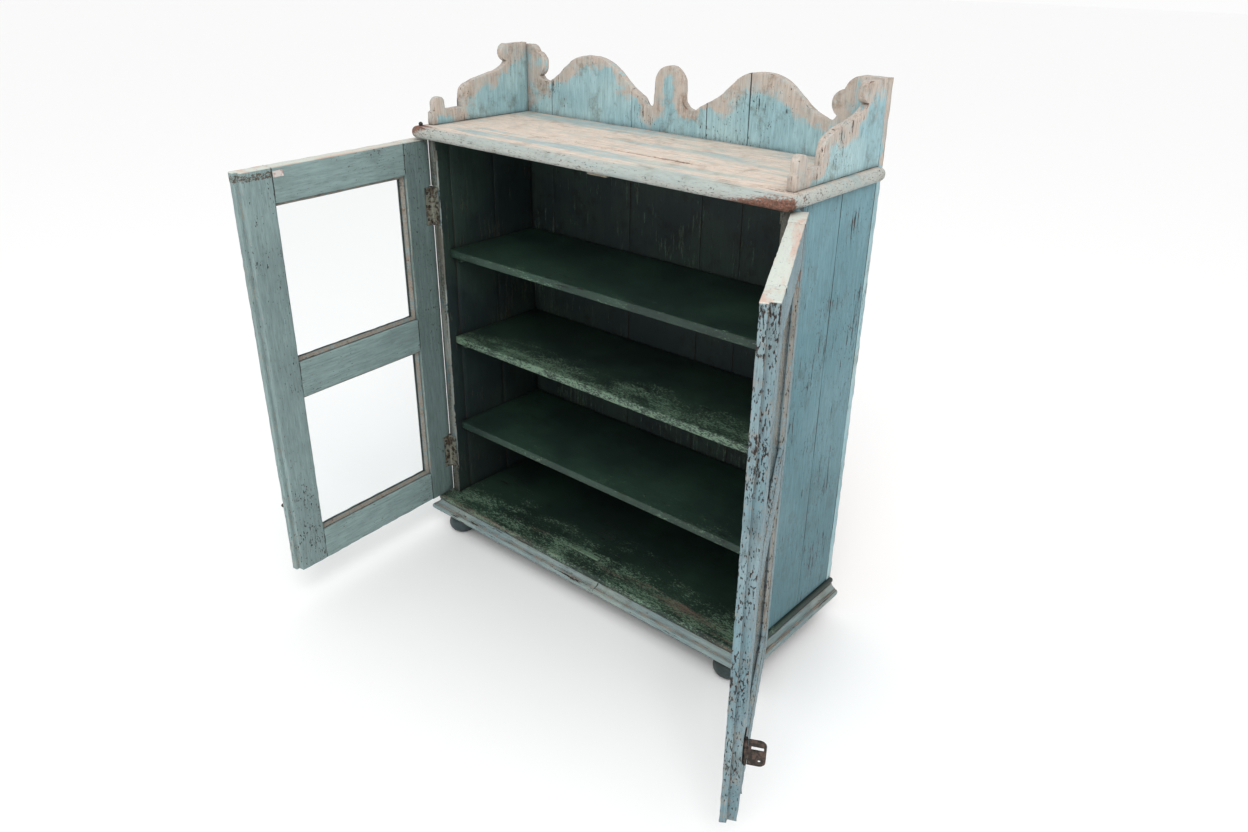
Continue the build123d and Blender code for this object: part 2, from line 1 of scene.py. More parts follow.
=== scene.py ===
# %% [markdown]
# # A painted pine china cabinet with two glass doors
# An old country cabinet: pine boards, a boarded back that rises into a scalloped gallery, turned feet and
# two framed doors that stand open. Its blue-green paint has worn through to a pinkish first coat and, on
# the arrises, to brown wood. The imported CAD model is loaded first. It fixes every size, so the script
# measures everything else from it.

# %% Load the frame
import math

import bpy
from mathutils import Matrix, Vector, kdtree
from mathutils.bvhtree import BVHTree


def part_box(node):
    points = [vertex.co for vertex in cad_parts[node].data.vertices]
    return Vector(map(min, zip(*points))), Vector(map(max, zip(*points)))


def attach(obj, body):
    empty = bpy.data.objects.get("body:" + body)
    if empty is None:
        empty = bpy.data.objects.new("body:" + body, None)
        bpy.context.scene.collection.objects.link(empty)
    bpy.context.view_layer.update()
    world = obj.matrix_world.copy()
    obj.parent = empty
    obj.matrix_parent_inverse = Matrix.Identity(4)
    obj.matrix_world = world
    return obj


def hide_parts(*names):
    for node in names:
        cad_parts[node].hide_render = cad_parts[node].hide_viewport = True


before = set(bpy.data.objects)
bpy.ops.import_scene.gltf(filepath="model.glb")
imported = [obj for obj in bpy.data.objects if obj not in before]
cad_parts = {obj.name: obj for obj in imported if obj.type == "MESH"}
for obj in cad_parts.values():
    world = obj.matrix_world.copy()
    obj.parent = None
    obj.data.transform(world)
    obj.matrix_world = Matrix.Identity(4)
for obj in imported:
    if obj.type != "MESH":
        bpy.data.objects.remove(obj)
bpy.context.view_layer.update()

# %% [markdown]
# ## Sizes that several steps use
# All sizes are in metres, and each comes from a CAD node's box where there is one. The doors were built
# shut and then swung on their pins, so the two angles turn a pattern or a cut back into line with a door.

# %% Shared sizes
MM = 0.001
LEFT_SWING = math.radians(-86)
RIGHT_SWING = math.radians(117)
top_low, top_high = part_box("top_board")
back_low, back_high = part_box("back_board_3")
INSIDE_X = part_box("side_right_front_board")[0].x
INSIDE_BACK = back_low.y
INSIDE_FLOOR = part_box("bottom_board")[1].z
INSIDE_TOP = top_low.z
GALLERY_FOOT = top_high.z
print("inside half width", round(INSIDE_X, 3), "depth", round(INSIDE_BACK, 3))


def turning(node):
    """How far the board of a node is swung, in radians: zero for the fixed carcass."""
    if node.startswith("left_"):
        return LEFT_SWING
    if node.startswith("right_"):
        return RIGHT_SWING
    return 0.0


# %% [markdown]
# ## The camera
# The cabinet is seen from its right front, from a little above its top, with a fairly wide lens, so that
# the uprights lean together towards the floor. The three turns are made in their natural order: face the
# way, tilt down, and level the camera by a touch of roll.

# %% Camera
EYE = Vector((1.3736, -1.4737, 1.4762))
EYE_TURN, EYE_DOWN, EYE_ROLL = 40.39, 26.05, 0.79
camera_data = bpy.data.cameras.new("camera")
camera_data.lens = 27.9
camera_data.sensor_width = 36.0
camera = bpy.data.objects.new("camera", camera_data)
bpy.context.scene.collection.objects.link(camera)
camera.matrix_world = (
    Matrix.Translation(EYE)
    @ Matrix.Rotation(math.radians(EYE_TURN), 4, "Z")
    @ Matrix.Rotation(math.radians(90 - EYE_DOWN), 4, "X")
    @ Matrix.Rotation(math.radians(EYE_ROLL), 4, "Z")
)
bpy.context.scene.camera = camera
print("camera lens", camera_data.lens, "mm")

# %% [markdown]
# ## Floor and light
# The light is a plain soft studio: a bright even surround and one large soft lamp high in front, which
# favours the top. The inside stays dark, because only the open front lets light in, and its greens are also
# painted darker than the paint itself as painted shade. The floor is a flat pale sheet, large enough to fill
# every view.

# %% Floor, lamps and surround
bpy.ops.object.select_all(action="DESELECT")
bpy.ops.mesh.primitive_plane_add(size=60.0)
floor = bpy.context.object
floor.name = "studio_floor"
floor_paint = bpy.data.materials.new("matt_white_studio_floor")
floor_paint.use_nodes = True
floor_shader = floor_paint.node_tree.nodes["Principled BSDF"]
floor_shader.inputs["Base Color"].default_value = (0.975, 0.975, 0.975, 1)
floor_shader.inputs["Roughness"].default_value = 0.95
floor_shader.inputs["Specular IOR Level"].default_value = 0.1
floor.data.materials.append(floor_paint)


def soft_lamp(name, place, target, size, watts):
    """A square area lamp at a place, turned to face a target."""
    lamp = bpy.data.lights.new(name, "AREA")
    lamp.size = size
    lamp.energy = watts
    holder = bpy.data.objects.new(name, lamp)
    bpy.context.scene.collection.objects.link(holder)
    away = Vector(place) - Vector(target)
    holder.matrix_world = Matrix.Translation(place) @ away.to_track_quat("Z", "Y").to_matrix().to_4x4()
    return holder


soft_lamp("key_lamp", (1.9, -2.3, 3.4), (0, 0.1, 0.6), 2.0, 66)
surround = bpy.data.worlds.new("pale_surround")
surround.use_nodes = True
surround.node_tree.nodes["Background"].inputs["Color"].default_value = (1, 1, 1, 1)
surround.node_tree.nodes["Background"].inputs["Strength"].default_value = 0.98
bpy.context.scene.world = surround
bpy.context.scene.view_settings.view_transform = "Standard"

# %% [markdown]
# ## Colour and nodes
# Paint colours are picked as sRGB hex values, as on a paint maker's card, and one function turns them to
# the linear values that the renderer needs. Every node is added by one small function, with its settings
# and what goes into it. A pattern's scale is worked out from a real size in millimetres.

# %% Colour and node helpers


def linear(hex_colour, alpha=1.0):
    """An sRGB hex colour as linear red, green, blue and alpha."""
    parts = [int(hex_colour[i : i + 2], 16) / 255 for i in (1, 3, 5)]
    return tuple(p / 12.92 if p <= 0.04045 else ((p + 0.055) / 1.055) ** 2.4 for p in parts) + (alpha,)


def per_metre(size_mm):
    """The noise scale that gives features of about this size."""
    return 1000.0 / size_mm


def add_node(tree, kind, settings=None, inputs=None, out=0):
    """Adds one shader node with its settings and inputs, and gives back one of its outputs."""
    node = tree.nodes.new("ShaderNode" + kind)
    for name, value in (settings or {}).items():
        setattr(node, name, value)
    for name, value in (inputs or {}).items():
        if isinstance(value, bpy.types.NodeSocket):
            tree.links.new(value, node.inputs[name])
        else:
            node.inputs[name].default_value = value
    return node.outputs[out]


def new_material(name):
    """An empty material with its shader, and that shader's tree."""
    material = bpy.data.materials.new(name)
    material.use_nodes = True
    return material, material.node_tree, material.node_tree.nodes["Principled BSDF"]


MIX_COLOUR = {"data_type": "RGBA"}
MULTIPLY_COLOUR = {"data_type": "RGBA", "blend_type": "MULTIPLY"}
print("helpers ready; a 5 mm feature has scale", per_metre(5))

# %% [markdown]
# ## Old paint on pine
# The real finish is a stack: pine, a pinkish-beige first coat, and a blue-green oil paint brushed on
# along the boards. It wears from the arrises inwards, and it flakes in short dark slots that follow the
# grain.
# The material is built the same way, from the top coat down, and then darkens corners and crevices by
# their ambient occlusion, which is painted shade. Each mask is one noise with a threshold, and every
# noise that follows the boards is stretched along the grain.
# How far a point is from the nearest free arris comes from an attribute, `arris`, that each piece
# measures when it is made, so that the wear follows the real outline, curves included. A second
# attribute, `joint`, does the same for the joints, and draws their thin dark line.

# %% Painted pine
LONG_GRAIN = 1 / 12


def inside_of_cabinet(tree, place):
    """One for surfaces that face the inside of the carcass, zero outside, from where they are."""
    slack = 1.5 * MM
    axes = add_node(tree, "SeparateXYZ", None, {"Vector": place}).node.outputs
    half = add_node(tree, "Math", {"operation": "ABSOLUTE"}, {0: axes["X"]})
    tests = [
        add_node(tree, "Math", {"operation": "LESS_THAN"}, {0: half, 1: INSIDE_X + slack}),
        add_node(tree, "Math", {"operation": "GREATER_THAN"}, {0: axes["Y"], 1: 2.5 * MM}),
        add_node(tree, "Math", {"operation": "LESS_THAN"}, {0: axes["Y"], 1: INSIDE_BACK + slack}),
        add_node(tree, "Math", {"operation": "GREATER_THAN"}, {0: axes["Z"], 1: INSIDE_FLOOR - slack}),
        add_node(tree, "Math", {"operation": "LESS_THAN"}, {0: axes["Z"], 1: INSIDE_TOP + slack}),
    ]
    total = tests[0]
    for test in tests[1:]:
        total = add_node(tree, "Math", {"operation": "MULTIPLY"}, {0: total, 1: test})
    return total


def beside_axis(tree, place, name):
    """One coordinate of a place."""
    return add_node(tree, "SeparateXYZ", None, {"Vector": place}, name)


def patch(tree, value, start, soft=0.04):
    """A mask that rises from zero to one where a value passes start."""
    return add_node(
        tree, "MapRange", {"interpolation_type": "SMOOTHSTEP"},
        {"Value": value, "From Min": start, "From Max": start + soft},
    )


def band(tree, value, low, high, soft):
    """A mask that is one between two values along an axis, with soft ends."""
    rise = patch(tree, value, low - soft, soft)
    fall = add_node(
        tree, "MapRange", {"interpolation_type": "SMOOTHSTEP"},
        {"Value": value, "From Min": high, "From Max": high + soft, "To Min": 1.0, "To Max": 0.0},
    )
    return add_node(tree, "Math", {"operation": "MULTIPLY"}, {0: rise, 1: fall})


def painted_pine(
    name, coat, faded, grain="Z", turn=0.0, seed=0.0, under="#b9a497", wood="#6d5343", dark="#2a221d",
    rub=0.30, flecks=0.40, fleck_mm=7, arris_mm=3.0, border_mm=0.0, inside=None, extra=None, over=None,
    roughness=0.62, corner_shade=0.55, shade_at_foot=1.0, specks=0.5, patch_mm=34, stain=0.35,
):
    """A worn oil-painted board. Rub, flecks, specks and stain go from none at 0 to heavy at about 1."""
    material, tree, shader = new_material(name)
    place = add_node(tree, "TexCoord", out="Object")
    straight = add_node(
        tree, "Mapping", None,
        {"Vector": place, "Location": (seed, seed * 0.7, seed * 1.3), "Rotation": (0, 0, turn)},
    )
    stretch = [1.0, 1.0, 1.0]
    stretch["XYZ".index(grain)] = LONG_GRAIN
    along = add_node(tree, "Mapping", None, {"Vector": straight, "Scale": stretch})

    tone = add_node(tree, "TexNoise", None, {"Vector": straight, "Scale": per_metre(190), "Detail": 5.0})
    brush = add_node(
        tree, "TexNoise", None, {"Vector": along, "Scale": per_metre(4.5), "Detail": 5.0, "Roughness": 0.62}
    )
    flake = add_node(
        tree, "TexNoise", None,
        {"Vector": along, "Scale": per_metre(fleck_mm), "Detail": 6.0, "Roughness": 0.72},
    )
    cluster = add_node(tree, "TexNoise", None, {"Vector": straight, "Scale": per_metre(120), "Detail": 3.0})
    ragged = add_node(
        tree, "TexNoise", None, {"Vector": straight, "Scale": per_metre(26), "Detail": 8.0, "Roughness": 0.7}
    )
    slow = add_node(
        tree, "TexNoise", None,
        {"Vector": along, "Scale": per_metre(patch_mm), "Detail": 8.0, "Roughness": 0.68},
    )
    grit = add_node(
        tree, "TexNoise", None, {"Vector": straight, "Scale": per_metre(5), "Detail": 6.0, "Roughness": 0.75}
    )

    tone_mask = patch(tree, tone, 0.38, 0.24)
    colour = add_node(tree, "Mix", MIX_COLOUR, {0: tone_mask, 6: linear(coat), 7: linear(faded)}, 2)
    outdoors = 1.0
    if inside:
        indoor = inside_of_cabinet(tree, place)
        outdoors = add_node(tree, "Math", {"operation": "SUBTRACT"}, {0: 1.0, 1: indoor})
        green = add_node(
            tree, "Mix", MIX_COLOUR, {0: tone_mask, 6: linear(inside[0]), 7: linear(inside[1])}, 2
        )
        scratch = add_node(
            tree, "Math", {"operation": "MULTIPLY_ADD"}, {0: cluster, 1: 0.5, 2: flake}
        )
        scraped = patch(tree, scratch, 0.868, 0.05)
        green = add_node(tree, "Mix", MIX_COLOUR, {0: scraped, 6: green, 7: linear(inside[2])}, 2)
        colour = add_node(tree, "Mix", MIX_COLOUR, {0: indoor, 6: colour, 7: green}, 2)

    brush_tone_and_low_shade = add_node(
        tree, "MapRange", None,
        {"Value": brush, "From Min": 0.3, "From Max": 0.7, "To Min": 0.78, "To Max": 1.15},
    )
    # Painted shade: the colour darkens towards the floor, to the given factor at 0.1 m up, for the dimmer
    # light low down.
    low_shade = add_node(
        tree, "MapRange", None,
        {"Value": beside_axis(tree, place, "Z"), "From Min": 0.1, "From Max": 1.0, "To Min": shade_at_foot,
         "To Max": 1.0},
    )
    brush_tone_and_low_shade = add_node(tree, "Math", {"operation": "MULTIPLY"}, {0: brush_tone_and_low_shade, 1: low_shade})
    colour = add_node(tree, "VectorMath", {"operation": "SCALE"}, {0: colour, "Scale": brush_tone_and_low_shade})

    away = add_node(tree, "Attribute", {"attribute_name": "arris"}, None, "Fac")
    reach = add_node(
        tree, "MapRange", None,
        {"Value": ragged, "From Min": 0.36, "From Max": 0.74, "To Min": 0.1 * MM,
         "To Max": 2.4 * arris_mm * MM},
    )
    if border_mm:
        height = beside_axis(tree, place, "Z")
        raised = patch(tree, height, GALLERY_FOOT - 2 * MM, 4 * MM)
        blotch = add_node(
            tree, "TexNoise", None,
            {"Vector": straight, "Scale": per_metre(75), "Detail": 8.0, "Roughness": 0.62},
        )
        wide = add_node(
            tree, "MapRange", None,
            {"Value": blotch, "From Min": 0.36, "From Max": 0.66, "To Min": 4 * MM, "To Max": border_mm * MM},
        )
        wide = add_node(tree, "Math", {"operation": "MULTIPLY"}, {0: wide, 1: raised})
        reach = add_node(tree, "Math", {"operation": "MAXIMUM"}, {0: reach, 1: wide})
    ratio = add_node(tree, "Math", {"operation": "DIVIDE"}, {0: away, 1: reach})
    ratio = add_node(tree, "Math", {"operation": "MULTIPLY_ADD"}, {0: grit, 1: 0.9, 2: ratio})
    edge = add_node(
        tree, "MapRange", {"interpolation_type": "SMOOTHSTEP"},
        {"Value": ratio, "From Min": 1.05, "From Max": 1.65, "To Min": 1.0, "To Max": 0.0},
    )
    rubbed = patch(tree, slow, 0.76 - 0.36 * rub, 0.09)
    rubbed = add_node(tree, "Math", {"operation": "MULTIPLY"}, {0: rubbed, 1: outdoors})
    bared = add_node(tree, "Math", {"operation": "MAXIMUM"}, {0: edge, 1: rubbed})
    left_over = patch(tree, ragged, 0.44, 0.2)
    left_over = add_node(tree, "Math", {"operation": "MULTIPLY"}, {0: left_over, 1: 0.35})
    under_tone = add_node(tree, "Mix", MIX_COLOUR, {0: left_over, 6: linear(under), 7: linear(faded)}, 2)
    under_tone = add_node(tree, "VectorMath", {"operation": "SCALE"}, {0: under_tone, "Scale": brush_tone_and_low_shade})
    colour = add_node(tree, "Mix", MIX_COLOUR, {0: bared, 6: colour, 7: under_tone}, 2)
    if extra:
        colour = extra(tree, place, straight, colour, slow, grit)

    damp = add_node(
        tree, "TexNoise", None, {"Vector": straight, "Scale": per_metre(48), "Detail": 9.0, "Roughness": 0.72}
    )
    damp = add_node(tree, "Math", {"operation": "MULTIPLY"}, {0: patch(tree, damp, 0.50, 0.20), 1: stain})
    colour = add_node(tree, "Mix", MULTIPLY_COLOUR, {0: damp, 6: colour, 7: linear("#a08468")}, 2)
    fine = add_node(
        tree, "TexNoise", None, {"Vector": along, "Scale": per_metre(1.9), "Detail": 3.0, "Roughness": 0.6}
    )
    fine = add_node(
        tree, "MapRange", None,
        {"Value": fine, "From Min": 0.28, "From Max": 0.44, "To Min": 0.66, "To Max": 1.0},
    )
    colour = add_node(tree, "VectorMath", {"operation": "SCALE"}, {0: colour, "Scale": fine})
    depth = add_node(
        tree, "MapRange", None,
        {"Value": slow, "From Min": 0.46, "From Max": 0.66, "To Min": 0.0, "To Max": 0.8 * arris_mm * MM},
    )
    woody = add_node(tree, "Math", {"operation": "LESS_THAN"}, {0: away, 1: depth})
    woody = add_node(tree, "Math", {"operation": "MULTIPLY"}, {0: woody, 1: 0.75})
    colour = add_node(tree, "Mix", MIX_COLOUR, {0: woody, 6: colour, 7: linear(wood)}, 2)

    packed = add_node(tree, "Math", {"operation": "MULTIPLY_ADD"}, {0: cluster, 1: 0.45, 2: -0.225})
    lifted = add_node(tree, "Math", {"operation": "ADD"}, {0: flake, 1: packed})
    holes = patch(tree, lifted, 0.78 - 0.20 * flecks, 0.03)
    short = [1.0, 1.0, 1.0]
    short["XYZ".index(grain)] = 0.35
    nearly = add_node(tree, "Mapping", None, {"Vector": straight, "Scale": short})
    speck = add_node(
        tree, "TexNoise", None, {"Vector": nearly, "Scale": per_metre(3.2), "Detail": 3.0, "Roughness": 0.6}
    )
    speck = add_node(tree, "Math", {"operation": "MULTIPLY_ADD"}, {0: cluster, 1: 0.30, 2: speck})
    speck = patch(tree, speck, 0.96 - 0.16 * specks, 0.04)
    holes = add_node(tree, "Math", {"operation": "MAXIMUM"}, {0: holes, 1: speck})
    near_joint = add_node(tree, "Attribute", {"attribute_name": "joint"}, None, "Fac")
    gap = add_node(
        tree, "MapRange", None,
        {"Value": slow, "From Min": 0.35, "From Max": 0.65, "To Min": 0.5 * MM, "To Max": 1.9 * MM},
    )
    cracked = add_node(tree, "Math", {"operation": "LESS_THAN"}, {0: near_joint, 1: gap})
    cracked = add_node(tree, "Math", {"operation": "MULTIPLY"}, {0: cracked, 1: 0.8})
    holes = add_node(tree, "Math", {"operation": "MAXIMUM"}, {0: holes, 1: cracked})
    colour = add_node(tree, "Mix", MIX_COLOUR, {0: holes, 6: colour, 7: linear(dark)}, 2)
    if over:
        colour = over(tree, place, straight, colour, slow, grit)

    # Painted shade: the colour is darkened where ambient occlusion finds corners and crevices, by up to the
    # given fraction.
    corner = add_node(tree, "AmbientOcclusion", {"samples": 6}, {"Distance": 22 * MM}, "AO")
    shade = add_node(
        tree, "MapRange", None,
        {"Value": corner, "From Min": 0.25, "From Max": 0.85, "To Min": 1 - corner_shade, "To Max": 1.0},
    )
    colour = add_node(tree, "VectorMath", {"operation": "SCALE"}, {0: colour, "Scale": shade})
    tree.links.new(colour, shader.inputs["Base Color"])

    matt = add_node(
        tree, "MapRange", None, {"Value": bared, "To Min": roughness, "To Max": min(roughness + 0.2, 0.95)}
    )
    matt = add_node(tree, "Math", {"operation": "MULTIPLY_ADD"}, {0: brush, 1: 0.16, 2: matt})
    matt = add_node(tree, "Math", {"operation": "SUBTRACT"}, {0: matt, 1: 0.08})
    tree.links.new(matt, shader.inputs["Roughness"])
    shader.inputs["Specular IOR Level"].default_value = 0.35

    relief = add_node(tree, "Math", {"operation": "MULTIPLY_ADD"}, {0: bared, 1: -0.35, 2: 1.0})
    relief = add_node(tree, "Math", {"operation": "MULTIPLY_ADD"}, {0: holes, 1: -0.9, 2: relief})
    relief = add_node(tree, "Math", {"operation": "MULTIPLY_ADD"}, {0: brush, 1: 0.55, 2: relief})
    relief = add_node(tree, "Math", {"operation": "MULTIPLY_ADD"}, {0: grit, 1: 0.35, 2: relief})
    bump = add_node(
        tree, "Bump", None, {"Height": relief, "Strength": 0.8, "Distance": 0.6 * MM}, "Normal"
    )
    tree.links.new(bump, shader.inputs["Normal"])
    return material


# %% [markdown]
# ### The carcass paints
# The outside is a cool blue-green and the inside a very dark bottle green, darker than the paint itself as
# painted shade, and they meet at the inner arrises. One material holds both and chooses by place, because a
# board carries both colours. The gallery is part of the back boards, and there the first coat shows in a wide
# ragged border.

# %% Carcass, gallery and top
# Painted shade: these inside greens are darker than the paint itself, for the dim inside of the carcass.
GREEN_INSIDE_WITH_SHADE = ("#2a3a34", "#202d2e", "#5c7362")


def top_wear(tree, place, straight, colour, slow, grit):
    """The scrubbed top: a pitted grey-blue nosing, and reddish bare wood at its front corners."""
    x = beside_axis(tree, place, "X")
    y = beside_axis(tree, place, "Y")
    to_front = add_node(
        tree, "MapRange", None,
        {"Value": y, "From Min": top_low.y + 6 * MM, "From Max": top_low.y + 20 * MM, "To Min": 1.0,
         "To Max": 0.0},
    )
    half = add_node(tree, "Math", {"operation": "ABSOLUTE"}, {0: x})
    to_side = add_node(
        tree, "MapRange", None,
        {"Value": half, "From Min": top_high.x - 16 * MM, "From Max": top_high.x - 4 * MM},
    )
    nosing = add_node(tree, "Math", {"operation": "MAXIMUM"}, {0: to_front, 1: to_side})
    nosing = add_node(tree, "Math", {"operation": "MULTIPLY"}, {0: nosing, 1: 0.75})
    colour = add_node(tree, "Mix", MIX_COLOUR, {0: nosing, 6: colour, 7: linear("#a0aaa7")}, 2)
    lengthwise = add_node(tree, "Mapping", None, {"Vector": straight, "Scale": (0.3, 0.45, 1.0)})
    pores = add_node(
        tree, "TexNoise", None,
        {"Vector": lengthwise, "Scale": per_metre(2.6), "Detail": 6.0, "Roughness": 0.75},
    )
    pitted = add_node(tree, "Math", {"operation": "MULTIPLY_ADD"}, {0: nosing, 1: 0.13, 2: pores})
    pitted = add_node(tree, "Math", {"operation": "MULTIPLY_ADD"}, {0: slow, 1: 0.4, 2: pitted})
    pitted = patch(tree, pitted, 0.85, 0.06)
    colour = add_node(tree, "Mix", MIX_COLOUR, {0: pitted, 6: colour, 7: linear("#4b4541")}, 2)
    near_front = add_node(
        tree, "MapRange", None,
        {"Value": y, "From Min": top_low.y, "From Max": top_low.y + 0.06, "To Min": 1.0, "To Max": 0.0},
    )
    right_end = add_node(tree, "MapRange", None, {"Value": x, "From Min": 0.30, "From Max": 0.46})
    left_end = add_node(
        tree, "MapRange", None, {"Value": x, "From Min": -0.40, "From Max": -0.52, "To Max": 0.9}
    )
    ends = add_node(tree, "Math", {"operation": "MAXIMUM"}, {0: right_end, 1: left_end})
    worn = add_node(tree, "Math", {"operation": "MULTIPLY"}, {0: near_front, 1: ends})
    worn = add_node(tree, "Math", {"operation": "MULTIPLY_ADD"}, {0: worn, 1: 0.26, 2: slow})
    worn = add_node(tree, "Math", {"operation": "MULTIPLY_ADD"}, {0: grit, 1: 0.3, 2: worn})
    mask = patch(tree, worn, 0.80, 0.07)
    reddish = add_node(
        tree, "Mix", MIX_COLOUR,
        {0: patch(tree, grit, 0.42, 0.2), 6: linear("#5b4238"), 7: linear("#8d6453")}, 2,
    )
    return add_node(tree, "Mix", MIX_COLOUR, {0: mask, 6: colour, 7: reddish}, 2)


def post_front_wear(tree, place, straight, colour, slow, grit):
    """The front faces of the posts, rubbed by the doors to grey-brown wood."""
    y = beside_axis(tree, place, "Y")
    front = band(tree, y, -1 * MM, 2.5 * MM, 1 * MM)
    uneven = patch(tree, slow, 0.36, 0.2)
    front = add_node(tree, "Math", {"operation": "MULTIPLY"}, {0: front, 1: uneven})
    bare = add_node(
        tree, "Mix", MIX_COLOUR,
        {0: patch(tree, grit, 0.44, 0.16), 6: linear("#353a35"), 7: linear("#656a61")}, 2,
    )
    return add_node(tree, "Mix", MIX_COLOUR, {0: front, 6: colour, 7: bare}, 2)


def unpainted_back(tree, place, straight, colour, slow, grit):
    """The back faces of the back boards, which were never painted: grey-brown old pine."""
    y = beside_axis(tree, place, "Y")
    behind = patch(tree, y, back_high.y - 3 * MM, 1.5 * MM)
    pine = add_node(
        tree, "Mix", MIX_COLOUR,
        {0: patch(tree, slow, 0.42, 0.2), 6: linear("#8b7156"), 7: linear("#6d5845")}, 2,
    )
    return add_node(tree, "Mix", MIX_COLOUR, {0: behind, 6: colour, 7: pine}, 2)


# Brushed blue-green oil paint on the posts and sides: cool, matt, with black slots along the grain, and
# painted shade that darkens it towards the floor.
carcass = painted_pine(
    "oil_paint_on_pine_carcass", "#618891", "#6c919a", rub=0.03, flecks=0.74, arris_mm=1.6, specks=0.95,
    inside=GREEN_INSIDE_WITH_SHADE, seed=0.3, under="#94958d", wood="#55524a", shade_at_foot=0.68,
    extra=post_front_wear, stain=0.3,
)
# The same paint on the back boards and gallery, lighter, with a wide beige border where hands wore it off.
gallery = painted_pine(
    "oil_paint_on_pine_gallery", "#90b2b9", "#a1bdc0", rub=0.26, flecks=0.62, arris_mm=2.5, border_mm=56,
    specks=0.8, under="#b9ada2", inside=GREEN_INSIDE_WITH_SHADE, seed=1.7, extra=unpainted_back, stain=0.6,
)
# Scrubbed paint on the top board: beige first coat with blue left in streaks along X, and a pitted nosing.
top_paint = painted_pine(
    "scrubbed_oil_paint_on_pine_top", "#a9b8b7", "#b9bdb4", grain="X", rub=1.0, flecks=0.42, arris_mm=4,
    under="#d6c7b9", wood="#7a5a49", extra=top_wear, inside=GREEN_INSIDE_WITH_SHADE, seed=4.1,
    patch_mm=58, stain=0.36, specks=0.35,
)
print("carcass materials:", carcass.name, gallery.name, top_paint.name)

# %% [markdown]
# ### Shelves, plinth and feet
# The shelves are the same dark green, darker than the paint itself as painted shade, rubbed pale towards
# the front edge where plates were slid in and out. The plinth mouldings have mostly lost their blue, and
# the feet are nearly black with old polish and dirt.

# %% Shelves, plinth, feet


def front_rub(strength, edge_brown):
    """A pale speckled band that thins out away from the front edge, and brown wood along that edge."""

    def rub(tree, place, straight, colour, slow, grit):
        y = beside_axis(tree, place, "Y")
        near = add_node(
            tree, "MapRange", None,
            {"Value": y, "From Min": 0.0, "From Max": 0.26, "To Min": strength, "To Max": -0.22},
        )
        wiped = add_node(tree, "Mapping", None, {"Vector": straight, "Scale": (0.4, 1.0, 1.0)})
        cloud = add_node(
            tree, "TexNoise", None,
            {"Vector": wiped, "Scale": per_metre(50), "Detail": 9.0, "Roughness": 0.72},
        )
        near = add_node(tree, "Math", {"operation": "MULTIPLY_ADD"}, {0: cloud, 1: 0.7, 2: near})
        scour = add_node(
            tree, "TexNoise", None,
            {"Vector": wiped, "Scale": per_metre(2.8), "Detail": 6.0, "Roughness": 0.75},
        )
        mix = add_node(tree, "Math", {"operation": "ADD"}, {0: scour, 1: near})
        mask = patch(tree, mix, 0.95, 0.08)
        colour = add_node(tree, "Mix", MIX_COLOUR, {0: mask, 6: colour, 7: linear("#667f6a")}, 2)
        lip = add_node(
            tree, "MapRange", None,
            {"Value": y, "From Min": 0.0, "From Max": 0.06, "To Min": 0.22, "To Max": 0.0},
        )
        lip = add_node(tree, "Math", {"operation": "ADD"}, {0: lip, 1: slow})
        lip = add_node(tree, "Math", {"operation": "MULTIPLY_ADD"}, {0: grit, 1: 0.25, 2: lip})
        lip = patch(tree, lip, 1.02 - 0.26 * edge_brown, 0.10)
        return add_node(tree, "Mix", MIX_COLOUR, {0: lip, 6: colour, 7: linear("#6b6055")}, 2)

    return rub


# What all the shelves share: old gloss paint over pine, nearly black where it is chipped.
SHELF = dict(
    grain="X", rub=0.0, flecks=0.6, specks=0.9, under="#44574b", wood="#4c4137", dark="#0f100e",
    roughness=0.45, arris_mm=2.2,
)
# Bottle green gloss for the upper and lower shelves: dark, partly the paint and partly painted shade, with a
# soft sheen.
shelf_paint = painted_pine(
    "gloss_green_paint_on_pine_shelves", "#2b4237", "#20312b", seed=2.2, extra=front_rub(0.03, 0.0), **SHELF
)
# The same gloss rubbed through in a pale speckled band, for the middle shelf.
rubbed_shelf_paint = painted_pine(
    "gloss_green_paint_on_pine_rubbed", "#26392f", "#1b2824", seed=2.9, extra=front_rub(0.21, 0.35), **SHELF
)
# The same gloss on the bottom board, speckled, and brown along its front edge.
floor_paint_green = painted_pine(
    "gloss_green_paint_on_pine_floor", "#263a30", "#1c2b25", seed=3.5, extra=front_rub(0.11, 0.5), **SHELF
)
# Greyed oil paint on the front plinth moulding, grain along X, with strong painted shade in the hollows.
plinth_paint = painted_pine(
    "worn_oil_paint_on_pine_plinth", "#7b8e8f", "#8a9893", grain="X", rub=0.16, flecks=0.7, arris_mm=1.6,
    under="#8f8880", wood="#5f5248", seed=5.5, corner_shade=0.75, specks=0.8,
)
# The same on the side mouldings, more worn, grain along Y.
plinth_side_paint = painted_pine(
    "worn_oil_paint_on_pine_plinth_side", "#75888a", "#848f8b", grain="Y", rub=0.30, flecks=0.7, arris_mm=1.8,
    under="#8f8478", wood="#5f5248", seed=6.5, corner_shade=0.75, specks=0.8,
)
# Dark polish and paint on the turned feet: nearly black, with a low sheen on the curve.
foot_paint = painted_pine(
    "dark_polish_on_turned_feet", "#2d3a38", "#39474a", grain="X", rub=0.10, flecks=0.5, fleck_mm=5,
    under="#56635f", wood="#3c332b", dark="#12110f", roughness=0.45, seed=7.1, arris_mm=2,
)
# Unpainted sawn pine for what is out of sight: warm brown and dry.
bare_pine = painted_pine(
    "bare_sawn_pine", "#8a6f55", "#7a624c", grain="X", rub=0.3, flecks=0.3, under="#99805f",
    wood="#5f4a3a", roughness=0.8, seed=8.4,
)
